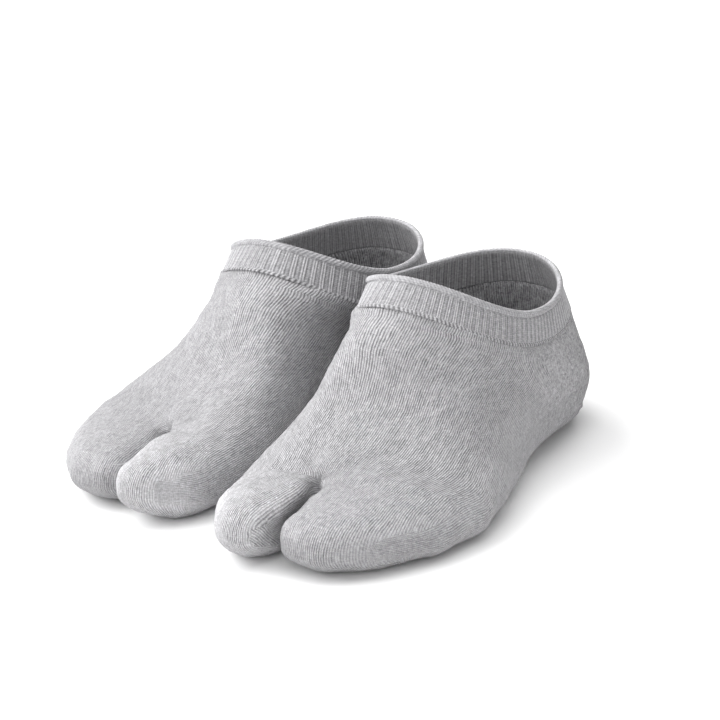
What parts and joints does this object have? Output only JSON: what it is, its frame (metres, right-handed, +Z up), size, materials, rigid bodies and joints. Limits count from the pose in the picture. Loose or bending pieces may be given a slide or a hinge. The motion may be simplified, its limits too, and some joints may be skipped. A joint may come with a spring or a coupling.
{
  "type": "pair of tabi socks",
  "caption": "Low-cut knitted tabi socks in heather grey, split between the big toe and the other toes, with ribbed cuffs, standing in their worn shape.",
  "frame": {"origin": "on the surface the socks stand on, at the bottom centre of the pair's box", "axes": "+Z up, toes towards -Y, the wearer's left sock on the +X side"},
  "size_m": [0.1958, 0.2503, 0.0884],
  "materials": {
    "plain_knit": "plain jersey knit in a heather light grey yarn, matt, with a faint fuzz",
    "rib_knit": "ribbed knit in the same heather grey yarn, matt, with a rolled top edge"
  },
  "bodies": {
    "root": {"left_foot": "plain_knit", "left_cuff": "rib_knit", "right_foot": "plain_knit", "right_cuff": "rib_knit"}
  },
  "joints": []
}
